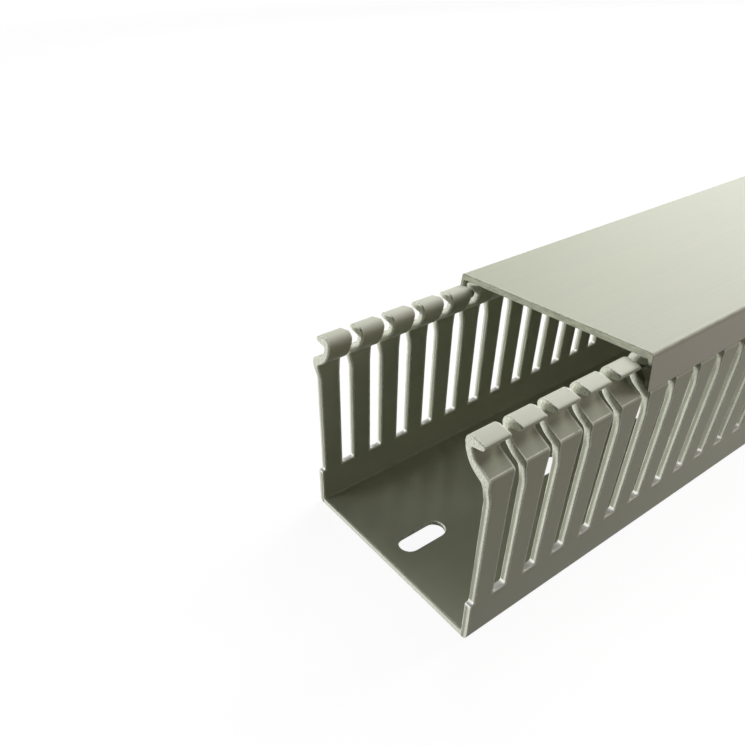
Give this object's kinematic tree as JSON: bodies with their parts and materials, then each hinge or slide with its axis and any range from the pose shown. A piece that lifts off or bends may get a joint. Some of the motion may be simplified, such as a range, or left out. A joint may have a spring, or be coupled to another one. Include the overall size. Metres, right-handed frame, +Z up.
{
  "type": "slotted wiring duct",
  "caption": "Slotted PVC wiring duct: an open trough with fingered side walls and a clip-on cover slid back from one end.",
  "frame": {"origin": "under the middle of the trough's base, at half its length", "axes": "+X along the duct, from the open end to the covered end; +Y across the duct; +Z up, from the base to the cover"},
  "size_m": [1.049, 0.06, 0.058],
  "materials": {
    "trough": "smooth satin extruded PVC",
    "cover": "smooth satin extruded PVC"
  },
  "bodies": {
    "trough": {"trough": "trough"},
    "cover": {"cover": "cover"}
  },
  "joints": [
    {"name": "cover_slide", "type": "slide", "parent": "trough", "child": "cover", "axis": [1, 0, 0], "range_m": [-0.049, 0.9]}
  ]
}
